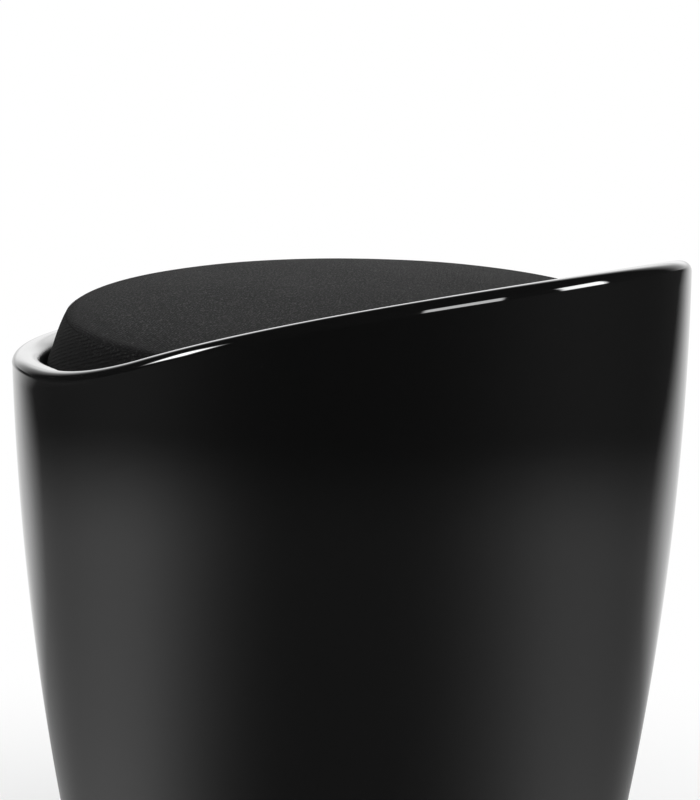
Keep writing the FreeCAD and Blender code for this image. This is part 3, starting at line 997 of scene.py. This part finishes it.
def make_camera():
    """The photograph's view."""
    elevation = math.radians(CAMERA_ELEVATION)
    back = TOWARDS_CAMERA * math.cos(elevation) + Vector((0, 0, math.sin(elevation)))
    aim = Vector((0, 0, CAMERA_AIM_HEIGHT)) + CAMERA_RIGHT * CAMERA_AIM_RIGHT
    lens = bpy.data.cameras.new("camera")
    lens.lens = CAMERA_LENS
    lens.sensor_width = CAMERA_SENSOR
    camera = add_object("camera", lens)
    camera.location = aim + back * CAMERA_DISTANCE
    camera.rotation_mode = "QUATERNION"
    roll = Quaternion((0, 0, 1), math.radians(CAMERA_ROLL))
    camera.rotation_quaternion = (-back).to_track_quat("-Z", "Y") @ roll
    bpy.context.scene.camera = camera


def fading(place, first, last):
    """1 in the middle of a width of 1, falling to 0 over these shares at its two ends."""
    return place.step(0, first) * (1 - place.step(1 - last, 1))


def soft_box(name, side_angle, elevation, distance, size, radiance, fade):
    """A soft light aimed at the seat, at a side angle to the camera's right, that fades at its four edges."""
    turn = math.radians(side_angle)
    rise = math.radians(elevation)
    level = TOWARDS_CAMERA * math.cos(turn) + CAMERA_RIGHT * math.sin(turn)
    direction = level * math.cos(rise) + Vector((0, 0, math.sin(rise)))
    lamp = bpy.data.lights.new(name, "AREA")
    lamp.shape = "RECTANGLE"
    lamp.size, lamp.size_y = size
    lamp.energy = radiance * math.pi * size[0] * size[1]
    start = empty_nodes(lamp)
    across, up = start.add("ShaderNodeNewGeometry", out="Parametric").axes()[:2]
    glow = fading(across, fade[0], fade[1]) * fading(up, fade[2], fade[3])
    light = start.add(
        "ShaderNodeEmission", None, {"Color": glow.between(grey(0.0), grey(1.0)), "Strength": 1.0}
    )
    start.add("ShaderNodeOutputLight", None, {"Surface": light})
    box = add_object(name, lamp)
    box.location = direction * distance + Vector((0, 0, LAMP_AIM_HEIGHT))
    box.rotation_mode = "QUATERNION"
    box.rotation_quaternion = direction.to_track_quat("Z", "Y")
    box.visible_camera = False


def make_lights():
    """Three soft boxes round the front, and a broad lit screen behind with a strip below it."""
    soft_box(
        "left_box", side_angle=-75, elevation=26, distance=2.2,
        size=(0.95, 1.0), radiance=28, fade=(0.3, 0.3, 0.3, 0.3)
    )
    soft_box(
        "right_box", side_angle=80, elevation=13, distance=2.2,
        size=(0.9, 0.85), radiance=21, fade=(0.15, 0.15, 0.2, 0.2)
    )
    soft_box(
        "front_box", side_angle=34, elevation=14, distance=2.4,
        size=(1.25, 0.85), radiance=11, fade=(0.08, 0.08, 0.15, 0.15)
    )
    soft_box(
        "back_screen", side_angle=180, elevation=28, distance=2.5,
        size=(3.4, 2.4), radiance=2.6, fade=(0.3, 0.3, 0.45, 0.45)
    )
    soft_box(
        "back_strip", side_angle=180, elevation=4, distance=2.6,
        size=(3.2, 0.8), radiance=0.8, fade=(0.25, 0.25, 0.45, 0.45)
    )


def facing(x, y, reach):
    """How far a level direction turns towards the camera, from -1 straight behind to 1."""
    return (x * TOWARDS_CAMERA.x + y * TOWARDS_CAMERA.y) / reach


def ray_kinds(start):
    """Which rays look: the camera's, mirrored ones and those through glass."""
    names = ("Is Camera Ray", "Is Glossy Ray", "Is Transmission Ray")
    return [start.add("ShaderNodeLightPath", out=name) for name in names]


def floor_in_gloss(x, y, reach):
    """The floor as the gloss mirrors it: lit near the stool and at its sides, with a bright patch behind."""
    front = facing(x, y, reach)
    right = x * CAMERA_RIGHT.x + y * CAMERA_RIGHT.y
    back = 0 - front * reach
    near = 1 - reach.step(0.95, 1.5)
    beside = (0.45 + front.step(-0.5, 0.3) * 0.7) * (1 - front.step(0.3, 1.0) * 0.9)
    dimmer_right = 1 - (right / reach).step(0.3, 1.0) * 0.35
    patch_half = 0.75 + back * (0.2 + back * 0.04)
    patch = (1 - (right.math("ABSOLUTE") / patch_half).step(0.68, 1.36)) * back.step(0.2, 0.9)
    return ((0.12 + near * 0.68) * beside * dimmer_right).math("MAXIMUM", patch)


def make_floor():
    """A pale floor that takes the stool's shadow and goes over to white further off."""
    half = FLOOR_WIDTH / 2
    corners = [(-half, -half, 0), (half, -half, 0), (half, half, 0), (-half, half, 0)]
    floor = add_mesh("studio_floor", corners, [(0, 1, 2, 3)])
    floor.location.z = -FLOOR_DROP
    material = bpy.data.materials.new("studio_floor")
    start = empty_nodes(material)
    x, y = start.add("ShaderNodeNewGeometry", out="Position").axes()[:2]
    reach = (x * x + y * y).math("SQRT").math("MAXIMUM", 0.001)
    seen, mirrored, through = ray_kinds(start)
    level = seen + mirrored * floor_in_gloss(x, y, reach) + through
    shows = (seen * reach.step(0.3, 0.75) + mirrored + through).math("MINIMUM", 1.0)
    paper = start.add("ShaderNodeBsdfDiffuse", None, {"Color": grey(0.84)})
    glow = start.add(
        "ShaderNodeEmission", None, {"Color": level.between(grey(0.0), grey(1.0)), "Strength": 1.0}
    )
    surface = start.add("ShaderNodeMixShader", None, {0: shows, 1: paper, 2: glow})
    start.add("ShaderNodeOutputMaterial", None, {"Surface": surface})
    floor.data.materials.append(material)


def make_world():
    """White all round for the camera, a white backdrop behind in the gloss, and soft fill."""
    world = bpy.data.worlds.new("studio")
    bpy.context.scene.world = world
    start = empty_nodes(world)
    x, y, z = start.add("ShaderNodeTexCoord", out="Generated").axes()
    level_reach = (x * x + y * y).math("SQRT").math("MAXIMUM", 0.001)
    behind = (0 - facing(x, y, level_reach)).step(0.68, 0.93)
    low = 1 - z.step(0.35, 0.62)
    seen, mirrored, through = ray_kinds(start)
    bright = seen + through + mirrored * (0.03 + behind * low * 0.97)
    fill = (1 - seen - through - mirrored).math("MAXIMUM", 0.0) * 0.14
    light = start.add(
        "ShaderNodeBackground", None,
        {"Color": (bright + fill).between(grey(0.0), grey(1.0)), "Strength": 1.0}
    )
    start.add("ShaderNodeOutputWorld", None, {"Surface": light})


bpy.context.scene.view_settings.view_transform = "Standard"
make_camera()
make_world()
make_floor()
make_lights()
make_shell()
make_cover()
make_dust_cover()
finish_nodes()
